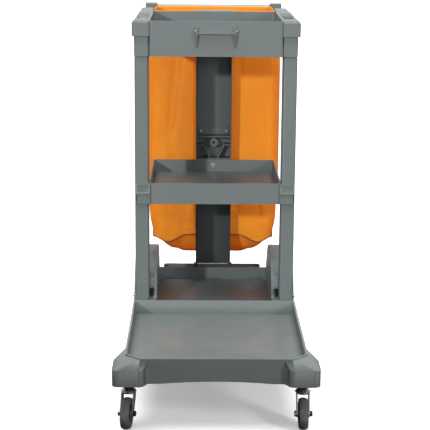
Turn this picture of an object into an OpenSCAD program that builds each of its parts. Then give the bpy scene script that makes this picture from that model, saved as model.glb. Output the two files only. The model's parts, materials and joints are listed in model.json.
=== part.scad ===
// Housekeeping cart: moulded deck, two shelves, a top tray and a hanging waste bag.
// X runs across the cart, Y from the platform end (-Y) to the handle end (+Y), Z up.
// The origin is the middle of the footprint, on the ground. All sizes are in millimetres.

/* [Overall] */
// Length over the front corner pods and the handle grips
cart_length = 1194; // [1180:1:1210]
// Width over the front corner pods
cart_width = 508; // [500:1:516]
// Height to the top of the handle grips
cart_height = 980; // [978:1:990]

/* [Deck] */
// Half width of the deck over its side rims
deck_half_w = 225; // [223:1:226]
// Top of the deck's rims
deck_rim_z = 198; // [194:1:202]
// Top of the deck's floor
deck_floor_z = 160; // [156:1:162]
// Underside of the deck's skirt
deck_bottom_z = 134; // [131:1:136]
// Thickness of the moulded walls
wall = 4; // [3:0.5:5]

/* [Wheels] */
// Radius of a rear wheel
rear_wheel_r = 125; // [122:1:126]
// Width of a rear tyre
rear_tyre_w = 40; // [36:1:41]
// Radius of the rear axle rod
axle_r = 6.35; // [6:0.05:7]
// Radius of a caster wheel
caster_r = 40; // [38:1:41]
// Width of a caster tyre
caster_w = 22; // [20:1:23]
// Distance of a caster's axle from its stem
caster_trail = 24; // [20:1:26]
// Swivel angle of the left caster at rest, in degrees
left_swivel = -8; // [-60:1:60]

/* [Posts and shelves] */
// Inner face of each front post, from the middle of the cart
post_in = 182; // [181:0.5:183]
// Width of a front post
post_w = 38; // [37:0.5:38.5]
// Depth of a front post, front to back
post_d = 60; // [56:1:62]
// Top of the middle shelf's rim
shelf_rim_z = 532; // [500:1:560]
// Top of the top tray's rim
tray_rim_z = 975; // [970:1:975]
// Underside of the top tray
tray_bottom_z = 880; // [876:1:886]

/* [Bag] */
// Half width of the bag where it is widest
bag_half_w = 197; // [190:1:200]
// Lowest point of the bag
bag_bottom_z = 222; // [215:1:240]
// Wall of the bag's stand-in solid
bag_wall = 4; // [3:0.5:6]

/* [Hidden] */
$fn = 64;

grey = [0.48, 0.52, 0.52];
dark_grey = [0.36, 0.39, 0.39];
black = [0.08, 0.08, 0.09];
zinc = [0.78, 0.79, 0.8];
tread_grey = [0.5, 0.47, 0.44];
orange = [0.95, 0.6, 0.12];

eps = 0.1;
big = 1000;
gap = 0.4;             // clearance between fixed pieces that plug into each other
run_gap = 0.05;        // radial clearance of a shaft that turns in its bore
move_gap = 0.5;        // clearance between bodies that move past each other
screw_r = 2.5;
screw_head_r = 5;

front_y = -cart_length / 2;
rear_y = cart_length / 2;

// Deck
pod_half_w = cart_width / 2;
pod_len = 95;
pod_in = 174;
pod_r = 16;
pod_top_z = deck_floor_z + 16;
pod_bulge = 25;        // how far a pod stands in front of the deck
deck_front_y = front_y + pod_bulge;
deck_rear_y = 284;
deck_corner = 38;       // how far the platform's front corners are cut across
floor_t = 4;
ledge_y = -80;         // front face of the ledge between platform and lower shelf
ledge_t = 6;
rib_t = 3;
slot_w = 46;           // slots in the rear wall that take the bag platform's tongues
slot_h = 6;
slot_x = 130;

// Wheel arches
arch_in = 162;
arch_y = 112;
arch_z = 138;
arch_r = 170;
well_front_y = -8;
axle_y = 121;
axle_z = rear_wheel_r;
axle_boss_r = 19;
axle_boss_w = 16;
wheel_x = [arch_in + wall + 2, deck_half_w - 6];
wheel_mid_x = (wheel_x[0] + wheel_x[1]) / 2;
rim_r = rear_wheel_r - 20;

// Posts
post_front_y = -72;
post_back_y = post_front_y + post_d;
post_out = post_in + post_w;
post_y = post_front_y + post_d / 2;
post_foot_z = deck_floor_z + floor_t;
post_r = 6;
post_wall = 3;
tenon_step = 3;
tenon_h = 40;

// Middle shelf
shelf_out = post_in - gap;
shelf_skirt_z = shelf_rim_z - 58;
shelf_floor_z = shelf_rim_z - 36;
shelf_front_y = post_front_y - 2;
shelf_back_y = 288;
collar_proud = 8;
collar_out = post_out - 2;
bolt_z = shelf_rim_z - 17;

// Column behind the shelves
column_half_w = 53;
column_front_y = shelf_back_y + gap;
column_d = 50;
column_back_y = column_front_y + column_d;
column_t = 3;
column_foot_z = 106;
foot_x = column_half_w + 8;
foot_zs = [deck_floor_z - 12, deck_floor_z + 16];
joint_top_z = shelf_rim_z + 71;
joint_hole_z = joint_top_z - 21;

// Top tray
tray_in = 178;
tray_front_y = post_front_y - 11;
tray_back_y = 284;
tray_floor_t = 4;
collar_split_z = tray_rim_z - 41;
boss_front_y = post_front_y - 14;
socket_half_w = column_half_w + 6;
socket_back_y = column_back_y + gap + wall;

// Arms, handle and bag
arm_in = 184;
arm_out = 220;
arm_top_z = tray_rim_z - 2;
arm_h = 32;
arm_end_y = rear_y - 39;
arm_drop = 23;
arm_wall = 4;
bar_r = 12.5;
bar_y = rear_y - 14;
bar_z = cart_height - 17;
grip_in = 177;
grip_out = 214;
grip_d = 28;
bar_half = grip_out - 4.5;
bag_front_y = column_back_y + 10;
bag_back_y = bar_y - bar_r - 3;
bag_top_z = bar_z + 8;
bag_neck_half_w = 181;
bag_neck_z = 905;      // the bag is narrow above this
bag_wide_z = 790;      // and at its full width below this
bag_corner_r = 26;
bag_sag = 62;

// Bag platform
platform_half_w = 158;
platform_back_y = 578;
platform_floor_z = 105;
platform_rim_z = 131;
platform_r = 8;

// Casters
caster_x = 218;
caster_y = -502;
socket_bottom_z = 102.2;
stem_r = 5.5;
crown_z = 88;
crown_r = 21;
dome_r = 24.5;
dome_top_z = socket_bottom_z - move_gap;
fork_in = 13.8;
fork_t = 2.6;
caster_axle_r = 4;

// ---------- shared shapes ----------

// Rectangle with round corners, centred.
module rounded_rect(w, l, r) {
    square([w - 2 * r, l], center = true);
    square([w, l - 2 * r], center = true);
    for (sx = [-1, 1], sy = [-1, 1])
        translate([sx * (w / 2 - r), sy * (l / 2 - r)]) circle(r);
}

// Upright block with round vertical edges between two corners.
module block(x, y, z, r) {
    translate([(x[0] + x[1]) / 2, (y[0] + y[1]) / 2, z[0]])
        linear_extrude(z[1] - z[0]) rounded_rect(x[1] - x[0], y[1] - y[0], r);
}

// Plain box between two corners.
module box(x, y, z) {
    translate([x[0], y[0], z[0]]) cube([x[1] - x[0], y[1] - y[0], z[1] - z[0]]);
}

// Cylinder along X between two places.
module rod_x(x, y, z, r) {
    translate([x[0], y, z]) rotate([0, 90, 0]) cylinder(r = r, h = x[1] - x[0]);
}

// Cylinder along Y between two places.
module rod_y(x, y, z, r) {
    translate([x, y[1], z]) rotate([90, 0, 0]) cylinder(r = r, h = y[1] - y[0]);
}

// Outline in the Y-Z plane, pushed along X.
module side_profile(x) {
    translate([x[0], 0, 0]) rotate([90, 0, 90]) linear_extrude(x[1] - x[0]) children();
}

// Outline in the X-Z plane, pushed along Y.
module front_profile(y) {
    translate([0, y[1], 0]) rotate([90, 0, 0]) linear_extrude(y[1] - y[0]) children();
}

// The same thing on both sides of the cart.
module both_sides() {
    children();
    mirror([1, 0, 0]) children();
}

// Pan-head screw at the origin, its head towards +Z and its shank towards -Z.
module screw(length) {
    difference() {
        union() {
            cylinder(r = screw_head_r, h = 2);
            translate([0, 0, 2]) cylinder(r = screw_head_r - 1, h = 1);
        }
        for (a = [0, 90]) rotate(a) translate([-2.6, -0.5, 1.6]) cube([5.2, 1, 2]);
    }
    translate([0, 0, -length]) cylinder(r = screw_r, h = length);
}

// Clearance hole for such a screw, a little above its head and below its tip.
module screw_hole() {
    translate([0, 0, -14]) cylinder(r = screw_r + gap / 2, h = 16);
}

// ---------- deck ----------

// Plan of one front corner pod, on the +X side.
module pod_plan() {
    pod_mid_x = (pod_in + pod_half_w) / 2;
    translate([pod_mid_x, front_y + pod_len / 2]) rounded_rect(pod_half_w - pod_in, pod_len, pod_r);
    translate([pod_in, front_y + pod_len / 2]) square([pod_half_w - pod_in - pod_r, pod_len / 2]);
    // flare that runs back into the deck's side
    flare_y = front_y + pod_len;
    polygon([[pod_in, flare_y - pod_r - 1], [pod_half_w, flare_y - pod_r - 1],
        [pod_half_w, flare_y - pod_r], [deck_half_w, flare_y + 60], [pod_in, flare_y + 60]]);
    // hollow corner between the pod and the deck's front
    blend_r = pod_bulge - 10;
    translate([pod_in - blend_r, deck_front_y - blend_r]) difference() {
        square(blend_r + eps);
        circle(blend_r);
    }
}

module deck_plan() {
    deck_mid_y = (deck_front_y + deck_rear_y) / 2;
    translate([0, deck_mid_y]) rounded_rect(2 * deck_half_w, deck_rear_y - deck_front_y, 10);
    pod_plan();
    mirror([1, 0]) pod_plan();
}

// Plan of the deck's rim with its front corners cut across, moved inwards by a wall.
module rim_plan(inset, back_y) {
    half = deck_half_w - inset;
    y = deck_front_y + inset;
    cut = deck_corner - 0.59 * inset;
    polygon([[-half, back_y], [-half, y + cut], [-half + cut, y], [half - cut, y], [half, y + cut], [half, back_y]]);
}

// Sloping shoulder from a pod's top edge up to the deck's rim.
module pod_shoulder() {
    hull() {
        translate([0, 0, pod_top_z - 1]) linear_extrude(1) {
            translate([(pod_in + pod_half_w) / 2, front_y + pod_len / 2])
                rounded_rect(pod_half_w - pod_in, pod_len, pod_r, $fn = 32);
            polygon([[pod_in + 8, front_y + pod_len - pod_r], [pod_half_w, front_y + pod_len - pod_r],
                [deck_half_w, front_y + pod_len + 60], [pod_in + 8, front_y + pod_len + 60]]);
        }
        translate([0, 0, deck_rim_z - 4]) linear_extrude(1) polygon([
            [pod_in - 8, deck_front_y + 2], [deck_half_w - deck_corner, deck_front_y + 1],
            [deck_half_w + 1, deck_front_y + deck_corner], [deck_half_w + 1, front_y + pod_len + 20],
            [pod_in + 20, front_y + pod_len + 20], [pod_in - 8, deck_front_y + 12]]);
    }
}

module arch_outline(r) {
    translate([arch_y, arch_z]) circle(r);
    translate([arch_y - r, deck_bottom_z]) square([2 * r, arch_z - deck_bottom_z]);
}

module wheel_arch() {
    difference() {
        side_profile([arch_in, deck_half_w]) intersection() {
            arch_outline(arch_r);
            translate([-big, deck_bottom_z]) square(2 * big);
        }
        // wheel well, open at the outside and underneath
        side_profile([arch_in + wall, big]) intersection() {
            arch_outline(arch_r - wall);
            translate([well_front_y, -big]) square(2 * big);
        }
        // pocket that takes the foot of the post
        box([post_in - gap, post_out + gap], [post_front_y - big, post_back_y + gap], [post_foot_z, big]);
        // drain notch beside the post's foot
        box([post_in - 11, post_in], [arch_y - arch_r - 1, post_front_y + 40], [deck_rim_z - 1, deck_rim_z + 24]);
        // hollow in front of the well
        side_profile([arch_in + wall, post_in - wall]) intersection() {
            arch_outline(arch_r - wall);
            translate([-big, -big]) square([big + well_front_y - wall, big + deck_rim_z - 8]);
        }
    }
}

// Boss under the deck that carries the axle, merged with the inner wall of the well.
module axle_boss() {
    difference() {
        union() {
            rod_x([arch_in + wall - axle_boss_w, arch_in + wall], axle_y, axle_z, axle_boss_r);
            box([arch_in + wall - axle_boss_w, arch_in + wall],
                [axle_y - axle_boss_r, axle_y + axle_boss_r], [axle_z, deck_floor_z - 2]);
        }
        rod_x([0, big], axle_y, axle_z, axle_r + run_gap);
    }
}

// Socket block for a caster's stem, inside a pod.
module stem_block() {
    difference() {
        translate([caster_x, caster_y, deck_bottom_z]) cylinder(r = 19, h = deck_floor_z - deck_bottom_z);
        translate([caster_x, caster_y, 0]) cylinder(r = stem_r + run_gap, h = deck_floor_z - 6);
    }
}

module deck_ribs() {
    under = deck_floor_z - floor_t;
    for (x = [-110, 0, 110])
        box([x - rib_t / 2, x + rib_t / 2], [deck_front_y + wall, deck_rear_y - wall], [deck_bottom_z + 8, under + eps]);
    for (y = [-450, -330, -210, ledge_y + ledge_t / 2, 20, 210])
        box([-arch_in, arch_in], [y - rib_t / 2, y + rib_t / 2], [deck_bottom_z + 8, under + eps]);
}

module deck_shell() {
    difference() {
        union() {
            translate([0, 0, deck_bottom_z]) linear_extrude(pod_top_z - deck_bottom_z) deck_plan();
            translate([0, 0, deck_bottom_z]) linear_extrude(deck_rim_z - deck_bottom_z) rim_plan(0, deck_rear_y);
            both_sides() pod_shoulder();
            both_sides() wheel_arch();
        }
        // front platform
        translate([0, 0, deck_floor_z]) linear_extrude(big) rim_plan(wall + 1, ledge_y);
        // lower shelf between the arches
        box([-arch_in, arch_in], [ledge_y + ledge_t, deck_rear_y - wall], [deck_floor_z, big]);
        // hollow underside, left solid only as walls
        box([-arch_in, arch_in], [deck_front_y + wall, deck_rear_y - wall], [0, deck_floor_z - floor_t]);
        both_sides() {
            box([arch_in - eps, deck_half_w - wall], [deck_front_y + wall, arch_y - arch_r - 8],
                [0, deck_floor_z - floor_t]);
            block([pod_in + wall, pod_half_w - wall], [front_y + wall, front_y + pod_len - wall],
                [0, deck_floor_z - floor_t], pod_r - wall);
            // wheel well through the deck
            side_profile([arch_in + wall, big]) intersection() {
                arch_outline(arch_r - wall);
                translate([well_front_y, -big]) square(2 * big);
            }
            box([arch_in + wall, big], [well_front_y, arch_y + arch_r - wall], [0, deck_bottom_z + 10]);
            // bore of the rear axle
            rod_x([0, big], axle_y, axle_z, axle_r + run_gap);
            // bore of the caster's stem
            translate([caster_x, caster_y, 0]) cylinder(r = stem_r + run_gap, h = deck_floor_z - 6);
            // pocket for the post
            box([post_in - gap, post_out + gap], [post_front_y - gap, post_back_y + gap], [post_foot_z, big]);
            // slots for the bag platform's tongues
            box([slot_x - slot_w / 2, slot_x + slot_w / 2], [deck_rear_y - 2 * wall, deck_rear_y + 1],
                [deck_floor_z + 1, deck_floor_z + 1 + slot_h]);
        }
        box([-slot_w / 2, slot_w / 2], [deck_rear_y - 2 * wall, deck_rear_y + 1],
            [deck_floor_z + 1, deck_floor_z + 1 + slot_h]);
        // shallow arch along the bottom of the front
        front_profile([deck_front_y - 30, deck_front_y + 40])
            translate([0, deck_bottom_z - 1594]) circle(r = 1600, $fn = 360);
        // screw holes of the posts
        both_sides() post_screw_places() screw_hole();
        // blind holes of the column's feet
        column_foot_screw_places() translate([0, 0, 3.8]) screw_hole();
    }
}

module base_deck() {
    color(grey) {
        deck_shell();
        deck_ribs();
        both_sides() axle_boss();
        both_sides() stem_block();
    }
}

// ---------- bag platform ----------

// Screws that hold the column's feet and the platform to the deck's rear wall.
module column_foot_screw_places() {
    for (x = [-foot_x, foot_x], z = foot_zs)
        translate([x, column_front_y + column_t, z]) rotate([-90, 0, 0]) children();
}

module bag_platform() {
    plate_y = deck_rear_y + gap;
    color(dark_grey) difference() {
        union() {
            block([-platform_half_w, platform_half_w], [plate_y, platform_back_y],
                [platform_floor_z - wall, platform_rim_z], platform_r);
            box([-platform_half_w, platform_half_w], [plate_y, plate_y + 40],
                [platform_floor_z - wall, platform_rim_z]);
            box([-platform_half_w, platform_half_w], [plate_y, plate_y + wall],
                [platform_floor_z - wall, deck_rim_z - 8]);
            for (x = [-slot_x, 0, slot_x])
                box([x - slot_w / 2 + 1, x + slot_w / 2 - 1], [deck_rear_y - wall + 0.5, plate_y + 1],
                    [deck_floor_z + 2, deck_floor_z + slot_h]);
        }
        block([-platform_half_w + wall, platform_half_w - wall], [plate_y + wall, platform_back_y - wall],
            [platform_floor_z, big], platform_r - wall);
        for (y = [350, 410, 470, 530], x = [-105, -35, 35, 105])
            block([x - 22, x + 22], [y - 6, y + 6], [0, big], 5.9);
        column_foot_screw_places() screw_hole();
    }
}

// ---------- posts ----------

module post_screw_places() {
    for (z = [deck_floor_z + 14, deck_rim_z + 6])
        translate([deck_half_w, post_y, z]) rotate([0, 90, 0]) children();
}

module post_tube(grow, z) {
    block([post_in - grow, post_out + grow], [post_front_y - grow, post_back_y + grow], z, post_r + grow);
}

module right_post() {
    tenon_top_z = tray_bottom_z + tenon_h;
    color(grey) difference() {
        union() {
            post_tube(0, [post_foot_z, tray_bottom_z - gap - 4]);
            post_tube(-1, [tray_bottom_z - gap - 4.5, tray_bottom_z - gap]);
            post_tube(-tenon_step, [tray_bottom_z - 5, tenon_top_z]);
        }
        block([post_in + post_wall + tenon_step, post_out - post_wall - tenon_step],
            [post_front_y + post_wall + tenon_step, post_back_y - post_wall - tenon_step],
            [post_foot_z - 1, tenon_top_z + 1], 2);
        post_screw_places() screw_hole();
    }
    // band round the foot, above the deck's ledge
    color(grey) box([post_in + 3, post_out - 3], [post_front_y - 1.6, post_front_y + 1],
        [deck_rim_z + 1, deck_rim_z + 8]);
}

// ---------- middle shelf ----------

// Collar that wraps a post, on the +X side.
module shelf_collar() {
    z0 = shelf_skirt_z + 2;
    z1 = shelf_rim_z - 2;
    pad_y = post_front_y - collar_proud;
    difference() {
        block([post_in - 5, collar_out], [pad_y, post_back_y + 5], [z0, z1], 3);
        post_tube(gap, [0, big]);
        // two sunk panels on the front pad
        box([post_in + 2, collar_out - 4], [pad_y - 1, pad_y + 1.5], [z0 + 4, z0 + 26]);
        box([post_in + 2, collar_out - 4], [pad_y - 1, pad_y + 1.5], [z0 + 31, z1 - 4]);
    }
    // rib across the pad
    box([post_in - 2, collar_out - 1], [pad_y - 2.5, pad_y + 3], [z0 + 26.5, z0 + 30.5]);
}

module mid_shelf() {
    color(grey) difference() {
        union() {
            block([-shelf_out, shelf_out], [shelf_front_y, shelf_back_y], [shelf_skirt_z, shelf_rim_z], 3);
            both_sides() shelf_collar();
        }
        block([-shelf_out + wall, shelf_out - wall], [shelf_front_y + wall, shelf_back_y - wall],
            [shelf_floor_z, big], 6);
        box([-shelf_out + wall, shelf_out - wall], [shelf_front_y + wall, shelf_back_y - wall],
            [0, shelf_floor_z - wall]);
        both_sides() post_tube(gap, [0, big]);
        rod_y(0, [shelf_back_y - wall - 1, shelf_back_y + 1], bolt_z, 3.2);
    }
}

module shelf_washer() {
    color(zinc) difference() {
        translate([0, shelf_back_y - wall, bolt_z]) rotate([90, 45, 0])
            linear_extrude(1.5) square(13, center = true);
        rod_y(0, [0, big], bolt_z, 3.2);
    }
}

module shelf_bolt() {
    color(zinc) {
        translate([0, shelf_back_y - wall - 1.5, bolt_z]) rotate([90, 0, 0]) difference() {
            cylinder(r = 5, h = 3.5);
            translate([0, 0, 1.5]) cylinder(r = 2.6, h = 4, $fn = 6);
        }
        rod_y(0, [shelf_back_y - wall - 1.6, column_front_y + 16], bolt_z, 3);
    }
}

// ---------- column ----------

// Channel section that opens towards the front, with lips along its front edges.
module column_channel(z) {
    difference() {
        block([-column_half_w, column_half_w], [column_front_y, column_back_y], z, 3);
        block([-column_half_w + column_t, column_half_w - column_t],
            [column_front_y - 20, column_back_y - column_t], [z[0] - 1, z[1] + 1], 2);
    }
    for (s = [-1, 1], y = [column_front_y + 16, column_front_y + 32])
        box([s > 0 ? column_half_w - column_t - 1.5 : -column_half_w + column_t - eps,
            s > 0 ? column_half_w - column_t + eps : -column_half_w + column_t + 1.5], [y, y + 2], z);
}

module lower_column() {
    color(dark_grey) difference() {
        union() {
            column_channel([column_foot_z, shelf_skirt_z - gap]);
            both_sides() box([column_half_w - eps, column_half_w + 5], [column_front_y, column_front_y + 24],
                [deck_rim_z - 4, deck_rim_z + 8]);
            both_sides() block([column_half_w - 3, column_half_w + 16], [column_front_y, column_front_y + column_t],
                [deck_floor_z - 24, deck_floor_z + 28], 1);
        }
        box([-column_half_w + column_t + 2, column_half_w - column_t - 2],
            [column_back_y - 10, column_back_y + 1], [deck_rim_z - 13, deck_rim_z - 2]);
        column_screw_places() screw_hole();
        column_foot_screw_places() screw_hole();
    }
}

// Moulded box that joins the two lengths of column behind the middle shelf.
module column_joint() {
    back_y = column_back_y - 6;
    color(dark_grey) difference() {
        union() {
            difference() {
                block([-column_half_w, column_half_w], [column_front_y, column_back_y],
                    [shelf_skirt_z, joint_top_z], 3);
                box([-column_half_w + column_t, column_half_w - column_t],
                    [column_front_y - 1, back_y - column_t], [shelf_rim_z + 4, joint_top_z - 4]);
                box([-column_half_w + column_t, column_half_w - column_t],
                    [column_front_y + wall, back_y - column_t], [shelf_skirt_z - 1, shelf_rim_z - 2]);
            }
            // tongues that reach into both lengths of column
            box([-column_half_w + 8, column_half_w - 8],
                [column_back_y - column_t - gap - 4, column_back_y - column_t - gap],
                [shelf_skirt_z - 24, joint_top_z + 24]);
            rod_y(0, [column_front_y + 14, back_y], joint_hole_z, 13.5);
            rod_y(0, [column_front_y + 1, back_y], bolt_z, 8);
            // two ribs that run from the sides down to the middle, in a shallow V
            rib_y = [column_front_y + 10, back_y];
            front_profile(rib_y) for (s = [-1, 1]) polygon([
                [s * (column_half_w - 1), joint_hole_z - 4.8], [s * 30, joint_hole_z - 4.8],
                [s * 10, shelf_rim_z + 3], [s * 14.5, shelf_rim_z + 3],
                [s * 32.5, joint_hole_z - 8.8], [s * (column_half_w - 1), joint_hole_z - 8.8]]);
        }
        rod_y(0, [0, big], joint_hole_z, 3.6);
        rod_y(0, [column_front_y - 1, column_front_y + 18], bolt_z, 3 + run_gap);
        column_screw_places() screw_hole();
    }
}

module upper_column() {
    color(dark_grey) difference() {
        column_channel([joint_top_z + gap, tray_rim_z - 12]);
        column_screw_places() screw_hole();
        both_sides() tray_screw_places() screw_hole();
    }
}

// Screws through the column's web into the joint's tongues.
module column_screw_places() {
    for (x = [-38, 38], z = [shelf_skirt_z - 12, joint_top_z + 9])
        translate([x, column_back_y, z]) rotate([-90, 0, 0]) children();
}

// ---------- top tray ----------

// Corner over a post, on the +X side: an upper collar above a narrower sleeve.
module tray_corner() {
    block([tray_in + 2, post_out], [boss_front_y + 9, post_back_y + 4], [tray_bottom_z, tray_rim_z], 5);
    block([tray_in, post_out + 6], [boss_front_y, post_back_y + 6], [collar_split_z, tray_rim_z - 5], 5);
    block([tray_in + 2, post_out + 2], [boss_front_y + 5, post_back_y + 4], [collar_split_z, tray_rim_z], 5);
}

// Rail on the front wall for hanging a dustpan or a sign.
module hanging_rail() {
    rail_half = 53;
    ear_t = 3;
    face_y = tray_front_y;
    color(grey) {
        both_sides() side_profile([rail_half - ear_t, rail_half]) polygon([
            [face_y, tray_rim_z - 15], [face_y - 8, tray_rim_z - 15], [face_y - 14, tray_rim_z - 32],
            [face_y - 12, tray_rim_z - 42], [face_y - 3, tray_rim_z - 70], [face_y, tray_rim_z - 72]]);
        box([-rail_half + 1, rail_half - 1], [face_y - 13, face_y], [tray_rim_z - 34, tray_rim_z - 30]);
        both_sides() rod_x([rail_half - eps, rail_half + 5], face_y - 9, tray_rim_z - 27, 3.5);
    }
}

module top_tray() {
    beam_front_y = post_back_y + 4;
    color(grey) difference() {
        union() {
            // the tray's tub and its two hollow side beams
            block([-tray_in - wall, tray_in + wall], [tray_front_y, tray_back_y],
                [tray_bottom_z, tray_rim_z], 10);
            both_sides() block([tray_in, arm_out], [post_front_y, tray_back_y],
                [arm_top_z - arm_h, tray_rim_z], 4);
            both_sides() tray_corner();
            // grip ridges on the beams
            both_sides() for (i = [0:5])
                box([tray_in + 8, arm_out - 4], [post_back_y + 92 + 18 * i, post_back_y + 102 + 18 * i],
                    [tray_rim_z - eps, tray_rim_z + 2.5]);
            // socket for the column
            block([-socket_half_w, socket_half_w], [tray_back_y - 4, socket_back_y],
                [tray_bottom_z + 10, tray_rim_z], 4);
        }
        // inside of the tub
        block([-tray_in, tray_in], [tray_front_y + wall, tray_back_y - wall],
            [tray_bottom_z + tray_floor_t, big], 10);
        // sleeves for the posts' tenons
        both_sides() post_tube(gap - tenon_step, [0, tray_bottom_z + tenon_h + 1]);
        both_sides() {
            // hollow side beams, open underneath
            box([tray_in + wall, arm_out - wall], [beam_front_y + wall, tray_back_y - wall],
                [0, tray_rim_z - 14]);
            // finger recess behind the corner
            block([tray_in + 7, arm_out - 5], [post_back_y + 14, post_back_y + 80],
                [tray_rim_z - 11, big], 4);
            // groove in front of the corner cap
            box([tray_in + 5, post_out - 2], [boss_front_y + 5.5, boss_front_y + 8.5],
                [tray_rim_z - 6, big]);
        }
        // socket for the column
        box([-column_half_w - gap, column_half_w + gap], [column_front_y - gap, column_back_y + gap],
            [0, tray_rim_z - 12 + gap]);
        both_sides() tray_screw_places() screw_hole();
        both_sides() arm_screw_places() screw_hole();
    }
}

module tray_screw_places() {
    translate([30, socket_back_y, tray_bottom_z + 52]) rotate([-90, 0, 0]) children();
}

module arm_screw_places() {
    for (x = [arm_in + 11, arm_out - 11])
        translate([x, tray_back_y - wall, arm_top_z - arm_h + 10]) rotate([90, 0, 0]) children();
}

// ---------- arms, handle and bag ----------

// Side view of an arm, with its top and ends moved inwards and its bottom moved down.
module arm_outline(inset, down) {
    top = arm_top_z - inset;
    low = arm_top_z - arm_h - down;
    polygon([
        [tray_back_y + gap + inset, low], [tray_back_y + gap + inset, top],
        [arm_end_y - 96, top], [arm_end_y - 70, top - 3], [arm_end_y - 20, top - arm_drop],
        [arm_end_y - inset, top - arm_drop], [arm_end_y - inset, low - 14], [arm_end_y - 60, low - 6]]);
}

module right_arm() {
    color(grey) {
        difference() {
            side_profile([arm_in, arm_out]) arm_outline(0, 0);
            // channel underneath
            side_profile([arm_in + 3, arm_out - 3]) arm_outline(arm_wall, 20);
            arm_screw_places() screw_hole();
            grip_screw_places() screw_hole();
        }
        // pegs that hold the bag's eyelets
        for (y = [tray_back_y + 78, arm_end_y - 110])
            rod_x([arm_in - 2, arm_in + 1], y, arm_top_z - 18, 3);
    }
}

module grip_screw_places() {
    translate([arm_out - 15, arm_end_y - arm_wall, arm_top_z - arm_drop - 12]) rotate([90, 0, 0]) children();
}

// Clamp at the end of an arm: a ridged block round the bar and a leg down to the arm.
module right_grip() {
    y0 = rear_y - grip_d;
    z0 = cart_height - 32;
    color(grey) difference() {
        union() {
            side_profile([grip_in, grip_out]) {
                translate([bar_y, bar_z]) circle(14);
                translate([y0, z0 + 13]) square([grip_d, 16.6]);
                for (i = [0:3]) translate([y0 + 4 + 6.6 * i, cart_height - 3]) circle(3, $fn = 24);
            }
            side_profile([arm_in + 6, grip_out]) polygon([
                [arm_end_y + gap, z0 - 26], [y0 + 15, z0 - 26], [rear_y - 1, z0 + 4], [rear_y - 1, z0 + 16],
                [y0, z0 + 16], [arm_end_y + gap, z0 + 4]]);
        }
        rod_x([grip_in - 1, grip_out - 4], bar_y, bar_z, bar_r + run_gap);
        grip_screw_places() screw_hole();
    }
}

module handle_bar() {
    color(dark_grey) difference() {
        rod_x([-bar_half, bar_half], bar_y, bar_z, bar_r);
        rod_x([-bar_half - 1, bar_half + 1], bar_y, bar_z, bar_r - 2);
    }
}

// Front outline of the bag: a neck between the arms, a wider body and a bottom that sags in the middle.
module bag_outline(shrink) {
    half = bag_half_w - shrink;
    neck = bag_neck_half_w - shrink;
    low = bag_bottom_z + shrink;
    steps = 12;
    bottom = [for (i = [0:steps]) let (t = 2 * i / steps - 1) [half * t, low + bag_sag * pow(abs(t), 3)]];
    polygon(concat(bottom, [[half, bag_wide_z], [neck, bag_neck_z], [neck, big],
        [-neck, big], [-neck, bag_neck_z], [-half, bag_wide_z]]));
}

module bag_solid(shrink, top_z) {
    intersection() {
        front_profile([bag_front_y + shrink, bag_back_y - shrink]) bag_outline(shrink);
        block([-bag_half_w + shrink, bag_half_w - shrink], [bag_front_y + shrink, bag_back_y - shrink],
            [0, top_z], bag_corner_r - shrink);
    }
}

module bag() {
    color(orange) difference() {
        bag_solid(0, bag_top_z);
        bag_solid(bag_wall, big);
    }
}

// ---------- fasteners ----------

module post_screws() {
    color(zinc) both_sides() post_screw_places() screw(8);
}

module tray_screws() {
    color(zinc) both_sides() tray_screw_places() screw(6);
}

module arm_screws() {
    color(zinc) both_sides() {
        arm_screw_places() screw(8);
        grip_screw_places() screw(11);
    }
}

module column_screws() {
    color(zinc) column_screw_places() screw(6);
}

module platform_screws() {
    color(zinc) column_foot_screw_places() screw(10);
}

// ---------- rear wheels ----------

module rear_axle() {
    color(zinc) rod_x([-deck_half_w - 2, deck_half_w + 2], axle_y, axle_z, axle_r);
}

// Push-on washers that keep the axle from sliding through the deck.
module axle_clips() {
    color(zinc) both_sides() difference() {
        rod_x([arch_in - 16, arch_in - 13], axle_y, axle_z, 12);
        rod_x([0, big], axle_y, axle_z, axle_r);
    }
}

// Ring about the wheel's axle from a half section of radius against width.
module turned_x(x, y, z) {
    translate([x, y, z]) rotate([0, 90, 0]) rotate_extrude($fn = 96) children();
}

module right_rear_tyre() {
    half = rear_tyre_w / 2;
    color(black) turned_x(wheel_mid_x, axle_y, axle_z) {
        translate([rim_r + gap, -half + 4]) square([20 - gap, rear_tyre_w - 8]);
        translate([rim_r + gap, -half]) square([16 - gap, rear_tyre_w]);
        for (s = [-1, 1]) translate([rim_r + 16, s * (half - 4)]) circle(4);
    }
}

module right_rear_hub() {
    half = rear_tyre_w / 2;
    spokes = 6;
    color(dark_grey) difference() {
        union() {
            turned_x(wheel_mid_x, axle_y, axle_z) {
                translate([rim_r - 7, -half + 2]) square([7, rear_tyre_w - 4]);
                translate([18, -2.5]) square([rim_r - 22, 5]);
                translate([axle_r + run_gap, wheel_x[0] - wheel_mid_x])
                    square([22 - axle_r, wheel_x[1] - wheel_x[0]]);
            }
            for (i = [0:spokes - 1]) translate([wheel_mid_x, axle_y, axle_z]) rotate([i * 360 / spokes, 0, 0])
                box([-half + 5, half - 5], [-2.5, 2.5], [18, rim_r - 4]);
        }
        rod_x([0, big], axle_y, axle_z, axle_r + run_gap);
    }
}

module right_rear_cap() {
    color(dark_grey) difference() {
        union() {
            rod_x([wheel_x[1] + move_gap, wheel_x[1] + 3], axle_y, axle_z, 15);
            rod_x([wheel_x[1] + move_gap, deck_half_w + 5], axle_y, axle_z, 11);
        }
        rod_x([0, deck_half_w + 2 + eps], axle_y, axle_z, axle_r);
    }
}

// ---------- casters ----------

// Puts a caster, built round its stem with the wheel leading towards -Y, in its place.
module caster_place(side, turn) {
    translate([side * caster_x, caster_y, 0]) rotate(turn) children();
}

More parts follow.
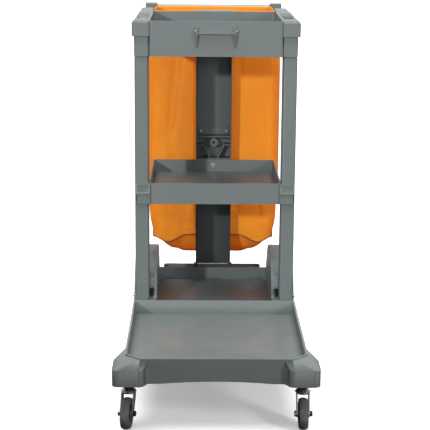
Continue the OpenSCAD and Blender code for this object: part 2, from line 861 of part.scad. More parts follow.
module caster_socket() {
    color(black) difference() {
        union() {
            translate([0, 0, socket_bottom_z + 6]) cylinder(r = 19, h = deck_bottom_z - socket_bottom_z - 6);
            translate([0, 0, socket_bottom_z]) cylinder(r1 = 15, r2 = 17, h = 6.5);
        }
        cylinder(r = stem_r + run_gap, h = big);
    }
}

module caster_stem() {
    color(zinc) {
        translate([0, 0, crown_z - 4]) cylinder(r = stem_r, h = deck_floor_z - 8 - crown_z + 4);
        translate([0, 0, crown_z - 4]) cylinder(r = 9, h = 3);
    }
}

module fork_leg_outline() {
    axle_at = [-caster_trail, caster_r];
    translate(axle_at) circle(9.5);
    polygon([[-14, crown_z + 1], [15, crown_z + 1], [13, crown_z - 14],
        axle_at + [8, -5], axle_at + [-9.2, 2.5]]);
}

module caster_fork() {
    color(zinc) difference() {
        union() {
            for (s = [-1, 1])
                translate([s > 0 ? fork_in : -fork_in - fork_t, 0, 0])
                    side_profile([0, fork_t]) fork_leg_outline();
            intersection() {
                translate([0, 0, crown_z]) cylinder(r = crown_r, h = 3);
                box([-fork_in - fork_t, fork_in + fork_t], [-big, big], [0, big]);
            }
            translate([0, 0, crown_z + 2]) rotate_extrude() {
                intersection() {
                    translate([0, dome_top_z - crown_z - 2 - dome_r]) circle(dome_r);
                    square([crown_r - 1, 20]);
                }
            }
        }
        cylinder(r = stem_r + run_gap, h = big);
        translate([0, 0, 0]) cylinder(r = 9 + move_gap, h = crown_z);
        rod_x([-big / 2, big / 2], -caster_trail, caster_r, caster_axle_r + run_gap);
    }
}

// Bolt through the fork and the wheel, with a round black head on the outside.
module caster_axle() {
    color(zinc) rod_x([-fork_in - fork_t - 1, fork_in + fork_t + 6], -caster_trail, caster_r, caster_axle_r);
    color(black) difference() {
        rod_x([-fork_in - fork_t - 6, -fork_in - fork_t], -caster_trail, caster_r, 7.5);
        rod_x([-fork_in - fork_t - 7, -fork_in - fork_t - 4.5], -caster_trail, caster_r, 4);
    }
}

module caster_nut() {
    color(black) difference() {
        translate([fork_in + fork_t, -caster_trail, caster_r]) rotate([0, 90, 0]) cylinder(r = 7.5, h = 6.5, $fn = 6);
        rod_x([0, big], -caster_trail, caster_r, caster_axle_r);
    }
}

module caster_hub() {
    half = caster_w / 2;
    core_r = caster_r - 11;
    color(dark_grey) turned_x(0, -caster_trail, caster_r) {
        translate([caster_axle_r + run_gap, -fork_in + move_gap])
            square([9 - caster_axle_r, 2 * (fork_in - move_gap)]);
        translate([8, -3]) square([core_r - 9, 6]);
        translate([core_r - 4, -half + 1]) square([4, caster_w - 2]);
    }
}

module caster_tyre() {
    half = caster_w / 2;
    core_r = caster_r - 11;
    color(tread_grey) turned_x(0, -caster_trail, caster_r) {
        translate([core_r + 0.2, -half + 1]) square([5, caster_w - 2]);
        translate([core_r + 4, -half]) square([1.5, caster_w]);
        intersection() {
            translate([core_r + 5, -half]) square([6, caster_w]);
            translate([caster_r - 20, 0]) circle(20, $fn = 96);
        }
    }
}

// ---------- left and right pieces ----------

module left_post() { mirror([1, 0, 0]) right_post(); }
module left_arm() { mirror([1, 0, 0]) right_arm(); }
module left_grip() { mirror([1, 0, 0]) right_grip(); }
module left_rear_hub() { mirror([1, 0, 0]) right_rear_hub(); }
module left_rear_tyre() { mirror([1, 0, 0]) right_rear_tyre(); }
module left_rear_cap() { mirror([1, 0, 0]) right_rear_cap(); }

base_deck();
bag_platform();
left_post();
right_post();
mid_shelf();
top_tray();
hanging_rail();
lower_column();
column_joint();
upper_column();
left_arm();
right_arm();
left_grip();
right_grip();
handle_bar();
bag();
shelf_bolt();
shelf_washer();
post_screws();
tray_screws();
column_screws();
arm_screws();
platform_screws();
rear_axle();
axle_clips();
left_rear_hub();
left_rear_tyre();
left_rear_cap();
right_rear_hub();
right_rear_tyre();
right_rear_cap();
caster_place(-1, 0) caster_socket();  // left_caster_socket
caster_place(-1, 0) caster_stem();  // left_caster_stem
caster_place(-1, left_swivel) caster_fork();  // left_caster_fork
caster_place(-1, left_swivel) caster_axle();  // left_caster_axle
caster_place(-1, left_swivel) caster_nut();  // left_caster_nut
caster_place(-1, left_swivel) caster_hub();  // left_caster_hub
caster_place(-1, left_swivel) caster_tyre();  // left_caster_tyre
caster_place(1, 0) caster_socket();  // right_caster_socket
caster_place(1, 0) caster_stem();  // right_caster_stem
caster_place(1, 0) caster_fork();  // right_caster_fork
caster_place(1, 0) caster_axle();  // right_caster_axle
caster_place(1, 0) caster_nut();  // right_caster_nut
caster_place(1, 0) caster_hub();  // right_caster_hub
caster_place(1, 0) caster_tyre();  // right_caster_tyre
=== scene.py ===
"""Looks of a housekeeping cart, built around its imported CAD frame."""

import json
import math

import bmesh
import bpy
import numpy as np
from mathutils import Euler, Matrix, Vector
from mathutils.bvhtree import BVHTree

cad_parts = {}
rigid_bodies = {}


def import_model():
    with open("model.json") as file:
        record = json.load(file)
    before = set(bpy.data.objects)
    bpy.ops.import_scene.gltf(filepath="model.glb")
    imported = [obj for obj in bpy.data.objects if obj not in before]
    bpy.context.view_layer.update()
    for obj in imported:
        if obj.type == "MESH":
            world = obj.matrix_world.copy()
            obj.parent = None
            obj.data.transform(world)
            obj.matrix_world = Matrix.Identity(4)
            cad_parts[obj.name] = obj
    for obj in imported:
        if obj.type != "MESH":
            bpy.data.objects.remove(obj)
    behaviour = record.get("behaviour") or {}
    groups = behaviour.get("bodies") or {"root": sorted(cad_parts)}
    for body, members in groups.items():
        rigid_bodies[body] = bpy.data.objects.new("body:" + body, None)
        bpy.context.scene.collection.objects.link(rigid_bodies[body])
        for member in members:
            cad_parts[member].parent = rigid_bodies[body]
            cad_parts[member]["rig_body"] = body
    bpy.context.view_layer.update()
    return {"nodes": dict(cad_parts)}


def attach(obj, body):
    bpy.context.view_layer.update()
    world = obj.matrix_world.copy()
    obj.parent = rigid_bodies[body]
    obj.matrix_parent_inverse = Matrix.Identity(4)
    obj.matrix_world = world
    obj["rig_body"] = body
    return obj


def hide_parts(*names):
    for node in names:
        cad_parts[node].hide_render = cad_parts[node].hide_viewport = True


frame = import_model()
nodes = frame["nodes"]

# --------------------------------------------------------------------------------------------
# Materials
# --------------------------------------------------------------------------------------------


class Shader:
    """A material's node tree, with short calls to add and link its nodes."""

    def __init__(self, name):
        self.material = bpy.data.materials.new(name)
        self.material.use_nodes = True
        self.tree = self.material.node_tree
        self.tree.nodes.clear()
        self.out = self.tree.nodes.new("ShaderNodeOutputMaterial")
        self.bsdf = self.tree.nodes.new("ShaderNodeBsdfPrincipled")
        self.link(self.bsdf.outputs[0], self.out.inputs["Surface"])
        self.object = self.tree.nodes.new("ShaderNodeTexCoord").outputs["Object"]

    def link(self, a, b):
        self.tree.links.new(a, b)

    def put(self, socket, value):
        if isinstance(value, bpy.types.NodeSocket):
            self.link(value, socket)
        else:
            socket.default_value = value

    def set(self, **values):
        for key, value in values.items():
            self.put(self.bsdf.inputs[key.replace("_", " ")], value)

    def attribute(self, name, output="Fac"):
        n = self.tree.nodes.new("ShaderNodeAttribute")
        n.attribute_name = name
        return n.outputs[output]

    def stretch(self, scale, vector=None):
        n = self.tree.nodes.new("ShaderNodeMapping")
        self.link(vector or self.object, n.inputs["Vector"])
        n.inputs["Scale"].default_value = scale
        return n.outputs[0]

    def noise(self, scale, detail=2.0, rough=0.5, vector=None, distortion=0.0):
        n = self.tree.nodes.new("ShaderNodeTexNoise")
        self.link(vector or self.object, n.inputs["Vector"])
        n.inputs["Scale"].default_value = scale
        n.inputs["Detail"].default_value = detail
        n.inputs["Roughness"].default_value = rough
        n.inputs["Distortion"].default_value = distortion
        return n.outputs["Fac"]

    def cells(self, scale, feature="F1", output="Distance", vector=None):
        n = self.tree.nodes.new("ShaderNodeTexVoronoi")
        n.feature = feature
        self.link(vector or self.object, n.inputs["Vector"])
        n.inputs["Scale"].default_value = scale
        return n.outputs[output]

    def maths(self, kind, a, b=0.0):
        n = self.tree.nodes.new("ShaderNodeMath")
        n.operation = kind
        self.put(n.inputs[0], a)
        self.put(n.inputs[1], b)
        return n.outputs[0]

    def range(self, value, low, high, to_low=0.0, to_high=1.0):
        n = self.tree.nodes.new("ShaderNodeMapRange")
        for i, v in enumerate((value, low, high, to_low, to_high)):
            self.put(n.inputs[i], v)
        return n.outputs[0]

    def mix(self, share, a, b, kind="MIX"):
        n = self.tree.nodes.new("ShaderNodeMix")
        n.data_type = "RGBA"
        n.blend_type = kind
        self.put(n.inputs[0], share)
        for socket, value in ((n.inputs[6], a), (n.inputs[7], b)):
            self.put(socket, value if isinstance(value, bpy.types.NodeSocket) else (*value, 1.0))
        return n.outputs[2]

    def bump(self, height, distance, strength=1.0, normal=None):
        n = self.tree.nodes.new("ShaderNodeBump")
        n.inputs["Strength"].default_value = strength
        n.inputs["Distance"].default_value = distance
        self.link(height, n.inputs["Height"])
        if normal is not None:
            self.link(normal, n.inputs["Normal"])
        return n.outputs[0]

    def axis(self, vector, name):
        n = self.tree.nodes.new("ShaderNodeSeparateXYZ")
        self.link(vector, n.inputs[0])
        return n.outputs[name]

    def up(self):
        """How far the surface looks up: 1 on a floor, -1 underneath."""
        n = self.tree.nodes.new("ShaderNodeNewGeometry")
        return self.axis(n.outputs["Normal"], "Z")


def shade(colour, k):
    return tuple(min(1.0, c * k) for c in colour)


def moulded(name, colour, grain=0.00006, gloss=0.38, wear=0.35, dust=0.05):
    """Moulded polypropylene: spark-eroded grain, faint flow marks, rubbed edges and a little dust."""
    s = Shader(name)
    cloud = s.noise(3.5, 4, 0.6)
    base = s.mix(s.range(cloud, 0.3, 0.7), shade(colour, 0.97), shade(colour, 1.03))
    flow = s.noise(9, 5, 0.65, s.stretch((1.0, 0.22, 1.0)), 0.6)
    base = s.mix(s.range(flow, 0.45, 0.75, 0.0, 0.25), base, shade(colour, 1.08))
    speck = s.cells(260)
    base = s.mix(s.range(speck, 0.0, 0.16, 0.22, 0.0), base, shade(colour, 0.72))
    edge = s.attribute("edge")
    patchy = s.range(s.noise(38, 4, 0.7), 0.38, 0.62)
    rubbed = s.maths("MULTIPLY", s.maths("MULTIPLY", edge, patchy), wear)
    base = s.mix(rubbed, base, shade(colour, 1.75))
    settled = s.maths("MULTIPLY", s.range(s.up(), 0.75, 1.0), s.range(s.noise(14, 5, 0.7), 0.4, 0.75))
    base = s.mix(s.maths("MULTIPLY", settled, dust), base, (0.55, 0.53, 0.5))
    scratch = s.noise(60, 3, 0.5, s.stretch((9.0, 0.6, 9.0)))
    rough = s.range(s.noise(24, 4, 0.6), 0.3, 0.7, gloss - 0.05, gloss + 0.07)
    rough = s.maths("ADD", rough, s.range(scratch, 0.66, 0.72, 0.0, 0.09))
    fine = s.bump(s.noise(2200, 2, 0.6), grain, 0.55)
    normal = s.bump(s.noise(42, 3, 0.5), 0.0006, 0.12, fine)
    s.set(Base_Color=base, Roughness=rough, Normal=normal, Specular_IOR_Level=0.5)
    return s.material


def rubber(name, colour, dusty):
    """Tyre rubber: mould marks, fine tooth, and floor dust on the running surface."""
    s = Shader(name)
    base = s.mix(s.range(s.noise(18, 5, 0.6), 0.3, 0.7), shade(colour, 0.85), shade(colour, 1.12))
    film = s.range(s.noise(70, 5, 0.7), 0.45, 0.7, 0.0, dusty)
    base = s.mix(film, base, (0.34, 0.31, 0.27))
    base = s.mix(s.maths("MULTIPLY", s.attribute("edge"), 0.3), base, shade(colour, 1.5))
    rough = s.range(s.noise(55, 4, 0.6), 0.3, 0.7, 0.62, 0.82)
    fine = s.bump(s.noise(1500, 3, 0.6), 0.00012, 0.6)
    normal = s.bump(s.noise(160, 3, 0.6), 0.0003, 0.2, fine)
    s.set(Base_Color=base, Roughness=rough, Normal=normal, Specular_IOR_Level=0.35)
    return s.material


def zinc(name):
    """Zinc plate on pressed steel: mottled crystals, drawing marks and dull spots."""
    s = Shader(name)
    crystal = s.cells(420, output="Color")
    tone = s.axis(crystal, "X")
    base = s.mix(s.range(tone, 0.0, 1.0), (0.40, 0.41, 0.42), (0.62, 0.62, 0.61))
    dull = s.range(s.noise(55, 5, 0.65), 0.5, 0.75, 0.0, 0.5)
    base = s.mix(dull, base, (0.42, 0.42, 0.4))
    drawn = s.noise(300, 3, 0.5, s.stretch((6.0, 6.0, 0.5)))
    rough = s.maths("ADD", s.range(tone, 0.0, 1.0, 0.24, 0.34), s.range(dull, 0.0, 0.5, 0.0, 0.2))
    s.set(
        Base_Color=base,
        Roughness=rough,
        Metallic=0.92,
        Normal=s.bump(drawn, 0.00008, 0.35),
    )
    return s.material


def powder_coat(name, colour):
    """Powder coat on steel tube: orange peel, and paler where hands rub it."""
    s = Shader(name)
    base = s.mix(s.range(s.noise(8, 4, 0.6), 0.3, 0.7), shade(colour, 0.92), shade(colour, 1.08))
    rub = s.range(s.noise(30, 4, 0.7), 0.5, 0.7, 0.0, 0.25)
    base = s.mix(rub, base, shade(colour, 1.4))
    peel = s.bump(s.noise(520, 1, 0.4), 0.0001, 0.5)
    s.set(Base_Color=base, Roughness=s.range(rub, 0.0, 0.25, 0.34, 0.24), Normal=peel, Coat_Weight=0.15)
    return s.material


def coated_cloth(name, colour, deep, through):
    """Coated bag cloth: plain weave under a soft coating, creases that catch light, light coming through."""
    s = Shader(name)
    place = s.attribute("cloth", "Vector")
    across, along = s.axis(place, "X"), s.axis(place, "Y")
    pitch = 2 * math.pi / 0.0009
    warp = s.maths("SINE", s.maths("MULTIPLY", across, pitch))
    weft = s.maths("SINE", s.maths("MULTIPLY", along, pitch))
    weave = s.maths("MULTIPLY", warp, weft)
    tone = s.range(s.noise(7, 4, 0.6), 0.3, 0.7)
    base = s.mix(tone, shade(colour, 0.95), shade(colour, 1.04))
    slub = s.noise(90, 3, 0.6, s.stretch((1.0, 1.0, 0.12)))
    base = s.mix(s.range(slub, 0.5, 0.75, 0.0, 0.12), base, deep)
    base = s.mix(s.range(weave, -1.0, 1.0, 0.16, 0.0), base, deep)
    # Painted shade: the cloth darkens towards the bottom in noisy patches, towards a deep red-orange, standing
    # in for the shadow under the mid shelf.
    low_painted_shade = s.maths("MULTIPLY", s.range(s.noise(22, 5, 0.7), 0.5, 0.8), s.attribute("low"))
    base = s.mix(s.maths("MULTIPLY", low_painted_shade, 0.35), base, shade(deep, 0.5))
    rough = s.range(s.noise(45, 4, 0.6), 0.3, 0.7, 0.44, 0.58)
    threads = s.bump(weave, 0.00007, 0.5)
    crumple = s.bump(s.noise(46, 5, 0.62, distortion=0.9), 0.0026, 0.34, threads)
    s.set(
        Base_Color=base,
        Roughness=rough,
        Normal=crumple,
        Specular_IOR_Level=0.25,
        Sheen_Weight=0.04,
        Sheen_Roughness=0.5,
    )
    glow = s.tree.nodes.new("ShaderNodeBsdfTranslucent")
    glow.inputs["Color"].default_value = (*deep, 1.0)
    s.link(crumple, glow.inputs["Normal"])
    both = s.tree.nodes.new("ShaderNodeMixShader")
    both.inputs[0].default_value = through
    s.link(s.bsdf.outputs[0], both.inputs[1])
    s.link(glow.outputs[0], both.inputs[2])
    s.link(both.outputs[0], s.out.inputs["Surface"])
    return s.material


def thread(name, colour):
    s = Shader(name)
    twist = s.noise(900, 2, 0.5, s.stretch((1.0, 1.0, 0.3)))
    base = s.mix(s.range(twist, 0.35, 0.65), shade(colour, 0.75), shade(colour, 1.2))
    s.set(Base_Color=base, Roughness=0.72, Normal=s.bump(twist, 0.0002, 0.6), Sheen_Weight=0.2)
    return s.material


materials = {
    "body_plastic": moulded("moulded_grey", (0.135, 0.155, 0.155)),
    "dark_plastic": moulded("moulded_dark_grey", (0.092, 0.106, 0.107), gloss=0.5, wear=0.3),
    # Painted shade: a much darker copy of the grey plastic, for the lower column where the mid shelf's shadow
    # falls.
    "painted_shade_plastic": moulded("moulded_grey_painted_shade", (0.042, 0.048, 0.050), gloss=0.5, wear=0.3),
    "wheel_plastic": moulded("wheel_dark_grey", (0.12, 0.13, 0.13), gloss=0.44, wear=0.5),
    "black_plastic": moulded("moulded_black", (0.018, 0.019, 0.02), gloss=0.4, wear=0.9),
    "rear_rubber": rubber("rear_tyre_rubber", (0.05, 0.05, 0.052), 0.18),
    "caster_rubber": rubber("caster_tyre_rubber", (0.135, 0.128, 0.120), 0.25),
    "zinc_steel": zinc("zinc_plate"),
    "handle_tube": powder_coat("grey_powder_coat", (0.2, 0.225, 0.23)),
    "bag_fabric": coated_cloth("coated_orange_cloth", (0.96, 0.52, 0.036), (0.98, 0.13, 0.003), 0.40),
    "seam_thread": thread("brown_thread", (0.22, 0.075, 0.012)),
}

# --------------------------------------------------------------------------------------------
# Rounded edges on the moulded pieces
# --------------------------------------------------------------------------------------------

node_slot = {}
for piece in nodes.values():
    node_slot[piece.name] = piece.data.materials[0].name if piece.data.materials else ""


SHARP = math.radians(33)  # an edge that bends more than this is rounded
TURNS = 7  # tries at leaving out the edges that don't round cleanly
SMALLEST_FACE = 4e-8  # square metres below which a face that is turned over isn't seen


def rounded_mesh(source, width, skip):
    """The mesh with its long sharp edges rounded, and the places where that went wrong."""
    bm = bmesh.new()
    bm.from_mesh(source)
    rim = bm.verts.layers.float.new("edge")
    bmesh.ops.remove_doubles(bm, verts=bm.verts, dist=2e-5)
    old = BVHTree.FromBMesh(bm)
    probes = [f.calc_center_median() for f in bm.faces]
    probes += [(e.verts[0].co + e.verts[1].co) / 2 for e in bm.edges]
    bmesh.ops.dissolve_limit(bm, angle_limit=math.radians(1.2), verts=bm.verts, edges=bm.edges)
    bm.normal_update()
    edges = []
    for e in bm.edges:
        if len(e.link_faces) != 2 or e.calc_face_angle(0) < SHARP:
            continue
        if any((v.co - p).length < r for v in e.verts for p, r in skip):
            continue
        edges.append(e)
    made = bmesh.ops.bevel(
        bm,
        geom=edges,
        offset=width,
        offset_type="OFFSET",
        segments=2,
        profile=0.5,
        affect="EDGES",
        clamp_overlap=False,
        loop_slide=True,
    )
    rounded = set(made["faces"])
    for v in bm.verts:
        v[rim] = 0.0
    for v in {v for f in rounded for v in f.verts}:
        if all(f in rounded for f in v.link_faces):
            v[rim] = 1.0
    bad = []
    for v in bm.verts:
        near = old.find_nearest(v.co)
        if near[3] > width * 0.75:
            bad.append((v.co.copy(), near[0].copy()))
    flat = bm.copy()
    bmesh.ops.triangulate(flat, faces=flat.faces)
    flat.normal_update()
    for f in flat.faces:
        place = f.calc_center_median()
        near = old.find_nearest(place)
        if f.calc_area() > SMALLEST_FACE and f.normal.dot(near[1]) < -0.1:
            bad.append((None, place))
    now = BVHTree.FromBMesh(flat)
    flat.free()
    for p in probes:
        near = now.find_nearest(p)
        if near[3] > width * 0.9:
            bad.append((None, p))
    return bm, bad


def soften(name, width):
    """A copy of a CAD node with rounded edges, which stands for it."""
    source = nodes[name]
    skip = []
    for turn in range(TURNS):
        bm, bad = rounded_mesh(source.data, width, skip)
        if not bad:
            break
        skip += [(p, width * (2.2 + turn)) for _, p in bad]
        bm.free()
    else:
        bm, bad = rounded_mesh(source.data, width, [(Vector(), 10.0)])
        print(name, "keeps its sharp edges")
    mesh = bpy.data.meshes.new(name + "_moulded")
    bm.to_mesh(mesh)
    bm.free()
    piece = bpy.data.objects.new(name + "_moulded", mesh)
    bpy.context.scene.collection.objects.link(piece)
    smooth_by_angle(mesh, 34)
    even = piece.modifiers.new("even", "WEIGHTED_NORMAL")
    even.keep_sharp = True
    even.weight = 100
    slot = node_slot[name]
    mesh.materials.append(materials[DARK.get(name, slot)])
    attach(piece, source["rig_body"])
    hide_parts(name)
    print(name, "rounded in", turn + 1, "turns, left sharp near", len(skip), "points")
    return piece


def smooth_by_angle(mesh, degrees):
    """Smooth shading, with sharp edges where the surface bends more than this."""
    mesh.polygons.foreach_set("use_smooth", [True] * len(mesh.polygons))
    mesh.set_sharp_from_angle(angle=math.radians(degrees))


# The lower column gets the grey plastic with painted shade for the shadow under the mid shelf. The upper column
# and the joint get the darker grey plastic they are made of.
DARK = {"lower_column": "painted_shade_plastic", "column_joint": "dark_plastic", "upper_column": "dark_plastic"}


def both_sides(names):
    """The names of the pieces that come in pairs, left and right."""
    return [f"{side}_{name}" for name in names for side in ("left", "right")]


WIDTHS = [
    (0.0014, ["base_deck"]),
    (0.0010, ["bag_platform"]),
    (0.0016, both_sides(["post"])),
    (0.0010, ["mid_shelf"]),
    (0.0014, ["top_tray"]),
    (0.0006, ["hanging_rail"]),
    (0.0008, ["lower_column", "column_joint", "upper_column"]),
    (0.0012, both_sides(["arm"])),
    (0.0009, both_sides(["grip", "rear_hub", "rear_tyre"])),
    (0.0006, both_sides(["rear_cap"])),
    (0.0004, both_sides(f"caster_{part}" for part in ("socket", "fork", "axle", "nut", "hub", "tyre", "stem"))),
]
for width, names in WIDTHS:
    for name in names:
        soften(name, width)
for name, piece in nodes.items():
    if not piece.hide_render:
        piece.data.materials.clear()
        piece.data.materials.append(materials[node_slot[name]])

# --------------------------------------------------------------------------------------------
# Bag
# --------------------------------------------------------------------------------------------

# Sizes in metres, in the frame's own axes.
BAG_TOP = 0.9695
BAG_MID_Y = 0.4580
BAG_HALF_D = 0.1080
CORNER = 0.030
N_FRONT, N_SIDE, N_CORNER = 44, 22, 6
ROWS, FLOOR_ROWS = 74, 13
WIDEST = 0.19  # half the bag's width where its seams and folds are measured
CLOTH_THICKNESS = 0.0009
HEM_DROP = 0.026
ROW_DROP = 0.0094  # height between two rows of the cloth
PEG_Z = 0.955
PEG_YS = {"front": 0.362, "rear": 0.448}
COLUMN_CLEAR_Y, BAR_CLEAR_Y = 0.3462, 0.5685


def ramp(x, a, b):
    """0 before a, 1 after b, and a smooth step between them."""
    t = min(1.0, max(0.0, (x - a) / (b - a)))
    return t * t * (3 - 2 * t)


def half_width(z):
    """Half the bag's width at one height: narrow between the arms, full below, drawn in at the seam."""
    neck = 0.1800 + 0.0165 * ramp(0.905 - z, 0.0, 0.115)
    return neck - 0.006 * ramp(0.5 - z, 0.0, 0.22) - 0.010 * ramp(0.34 - z, 0.0, 0.07)


def ring(a, b, r):
    """Points round a rounded rectangle, from the front's left end, the same number on each side."""
    pts = []

    def line(x0, y0, x1, y1, n):
        pts.extend((x0 + (x1 - x0) * i / n, y0 + (y1 - y0) * i / n) for i in range(n))

    def arc(cx, cy, start):
        for i in range(N_CORNER):
            t = math.radians(start + 90 * i / N_CORNER)
            pts.append((cx + r * math.cos(t), cy + r * math.sin(t)))

    line(-a + r, -b, a - r, -b, N_FRONT)
    arc(a - r, -b + r, -90)
    line(a, -b + r, a, b - r, N_SIDE)
    arc(a - r, b - r, 0)
    line(a - r, b, -a + r, b, N_FRONT)
    arc(-a + r, b - r, 90)
    line(-a, b - r, -a, -b + r, N_SIDE)
    arc(-a + r, -b + r, 180)
    return pts


def between(x, knots):
    """Smooth curve through the knots, level at each."""
    for (x0, y0), (x1, y1) in zip(knots, knots[1:]):
        if x <= x1:
            return y0 + (y1 - y0) * ramp(x, x0, x1)
    return knots[-1][1]


def seam_height(x, y):
    """Height of the bottom seam round the bag: lifted at the corners and the middle."""
    side = 0.004 * math.cos(y / 0.11 * math.pi) if abs(x) > 0.186 else 0.0
    return side + between(abs(x), [(0.0, 0.290), (0.085, 0.285), (0.148, 0.262), (WIDEST, 0.275)])


def pouch_height(x):
    """Lowest height of the sagging bottom at x."""
    return between(abs(x), [(0.0, 0.2125), (0.085, 0.2125), (0.120, 0.224), (WIDEST, 0.274)])


# Soft folds of the walls: x and z at the top, x and z at the bottom, half width, depth out (+) or in (-).
FRONT_FOLDS = [
    (-0.060, 0.90, -0.092, 0.56, 0.018, -0.0100),
    (-0.094, 0.90, -0.128, 0.60, 0.014, 0.0070),
    (-0.150, 0.90, -0.158, 0.62, 0.016, -0.0050),
    (-0.150, 0.52, -0.112, 0.30, 0.0085, -0.0110),
    (-0.128, 0.52, -0.094, 0.31, 0.0080, 0.0080),
    (-0.078, 0.46, -0.092, 0.32, 0.0100, 0.0060),
    (-0.172, 0.46, -0.150, 0.29, 0.0100, -0.0060),
    (0.080, 0.92, 0.080, 0.56, 0.0080, 0.0060),
    (0.063, 0.50, 0.072, 0.36, 0.0080, 0.0070),
    (0.092, 0.50, 0.120, 0.30, 0.0100, -0.0070),
    (0.172, 0.92, 0.176, 0.30, 0.0080, 0.0050),
    (0.128, 0.92, 0.112, 0.60, 0.0240, -0.0060),
    (0.140, 0.48, 0.160, 0.29, 0.0120, 0.0060),
]
REAR_FOLDS = [
    (-0.120, 0.92, -0.090, 0.40, 0.014, -0.0055),
    (-0.060, 0.80, -0.045, 0.34, 0.012, 0.0045),
    (0.020, 0.92, 0.010, 0.42, 0.016, -0.0050),
    (0.088, 0.88, 0.110, 0.34, 0.013, 0.0050),
    (0.140, 0.72, 0.132, 0.32, 0.010, -0.0050),
]
SIDE_FOLDS = [
    (-0.045, 0.92, -0.030, 0.42, 0.012, -0.0050),
    (0.012, 0.84, 0.022, 0.34, 0.012, 0.0045),
    (0.052, 0.92, 0.046, 0.40, 0.010, -0.0045),
]


def folds(rows, at, z):
    """How far the folds push the wall out at one place across it and one height."""
    out = 0.0
    for x0, z0, x1, z1, w, depth in rows:
        t = (z0 - z) / (z0 - z1)
        if -0.12 < t < 1.12:
            fade = ramp(t, -0.12, 0.12) * ramp(-t, -1.12, -0.86)
            centre = x0 + (x1 - x0) * t
            out += depth * fade * math.exp(-(((at - centre) / w) ** 2))
    return out


def bag_shell():
    """The bag's one layer of cloth: walls from the hem to the seam, then the bottom to its middle line."""
    base = ring(WIDEST, BAG_HALF_D, CORNER)
    n = len(base)
    length = [0.0]
    for i in range(n):
        a, b = base[i], base[(i + 1) % n]
        length.append(length[-1] + math.hypot(a[0] - b[0], a[1] - b[1]))
    verts, cloth, low = [], [], []
    for k in range(ROWS + 1):
        v = k / ROWS
        for i in range(n):
            bx, by = base[i]
            z = BAG_TOP + (seam_height(bx, by) - BAG_TOP) * v
            a = half_width(z)
            x, y = ring(a, BAG_HALF_D, CORNER)[i]
            inside = ramp(BAG_TOP - z, 0.01, 0.10)
            flat_x, flat_y = abs(x) < a - CORNER * 0.6, abs(y) < BAG_HALF_D - CORNER * 0.6
            slack = 0.006 * inside
            if flat_x and abs(y) > BAG_HALF_D * 0.8:
                out = folds(FRONT_FOLDS if y < 0 else REAR_FOLDS, x, z) - slack * (1 - (x / a) ** 2)
                y += math.copysign(out * inside, y)
            elif flat_y:
                out = folds(SIDE_FOLDS, y, z) - slack * (1 - (y / BAG_HALF_D) ** 2)
                x += math.copysign(out * inside, x)
            verts.append((x, BAG_MID_Y + y, z))
            cloth.append((length[i], z, 0.0))
            low.append(ramp(0.5 - z, 0.0, 0.25))
    for k in range(1, FLOOR_ROWS + 1):
        q = (k / FLOOR_ROWS) ** 1.35
        inset = BAG_HALF_D * q
        a = half_width(0.28) - 0.3 * inset
        b = max(BAG_HALF_D - inset, 0.0)
        r = max(min(CORNER - inset * 0.27, b), 0.0)
        now = ring(a, b, r)
        for i in range(n):
            bx, by = base[i]
            x, y = now[i]
            top = seam_height(bx, by)
            drop = 1 - (1 - q) ** 3.4
            z = top + (pouch_height(x) - top) * drop
            verts.append((x, BAG_MID_Y + y, z))
            cloth.append((length[i], top - inset, 0.0))
            low.append(1.0)
    faces = []
    for k in range(ROWS + FLOOR_ROWS):
        for i in range(n):
            j = (i + 1) % n
            faces.append((k * n + i, (k + 1) * n + i, (k + 1) * n + j, k * n + j))
    return n, verts, faces, cloth, low


def mesh_object(name, verts, faces, material, body="frame"):
    """A smooth object of one material, on a body where one is given."""
    mesh = bpy.data.meshes.new(name)
    mesh.from_pydata(verts, [], faces)
    mesh.validate()
    mesh.polygons.foreach_set("use_smooth", [True] * len(mesh.polygons))
    mesh.materials.append(material)
    piece = bpy.data.objects.new(name, mesh)
    bpy.context.scene.collection.objects.link(piece)
    if body:
        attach(piece, body)
    return piece


def apply_modifiers(piece):
    """Turns what the modifiers make into the piece's own mesh."""
    graph = bpy.context.evaluated_depsgraph_get()
    made = bpy.data.meshes.new_from_object(piece.evaluated_get(graph))
    old = piece.data
    piece.modifiers.clear()
    piece.data = made
    made.name = old.name
    bpy.data.meshes.remove(old)


def points(mesh):
    """The mesh's vertices as rows of x, y, z."""
    co = np.empty(len(mesh.vertices) * 3)
    mesh.vertices.foreach_get("co", co)
    return co.reshape(-1, 3)


n, verts, faces, cloth, low = bag_shell()
bag = mesh_object("bag_cloth", verts, faces, materials["bag_fabric"], None)
attribute = bag.data.attributes.new("cloth", "FLOAT_VECTOR", "POINT")
attribute.data.foreach_set("vector", np.array(cloth, np.float32).ravel())
# The low attribute rises towards the bottom of the cloth and drives the cloth material's painted shade.
attribute = bag.data.attributes.new("low", "FLOAT", "POINT")
attribute.data.foreach_set("value", np.array(low, np.float32))


def keep_clear(piece):
    """Keeps the cloth behind the column, before the bar and between the arms."""
    co = points(piece.data)
    co[:, 1] = np.clip(co[:, 1], COLUMN_CLEAR_Y, BAR_CLEAR_Y)
    neck = co[:, 2] > 0.902
    co[neck, 0] = np.clip(co[neck, 0], -0.1815, 0.1815)
    co[:, 0] = np.clip(co[:, 0], -0.203, 0.203)
    piece.data.vertices.foreach_set("co", co.ravel())
    piece.data.update()


keep_clear(bag)
walls = points(bag.data)


def loop_of(row):
    """The points of one row of the cloth."""
    return [Vector(walls[row * n + i]) for i in range(n)]


bm = bmesh.new()
bm.from_mesh(bag.data)
bmesh.ops.remove_doubles(bm, verts=bm.verts, dist=1e-5)
bmesh.ops.recalc_face_normals(bm, faces=bm.faces)
bm.to_mesh(bag.data)
bm.free()
solid = bag.modifiers.new("thickness", "SOLIDIFY")
solid.thickness = CLOTH_THICKNESS
solid.offset = 0
fine = bag.modifiers.new("smooth", "SUBSURF")
fine.levels = fine.render_levels = 1
apply_modifiers(bag)
bag.data.polygons.foreach_set("use_smooth", [True] * len(bag.data.polygons))
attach(bag, "frame")
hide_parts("bag")


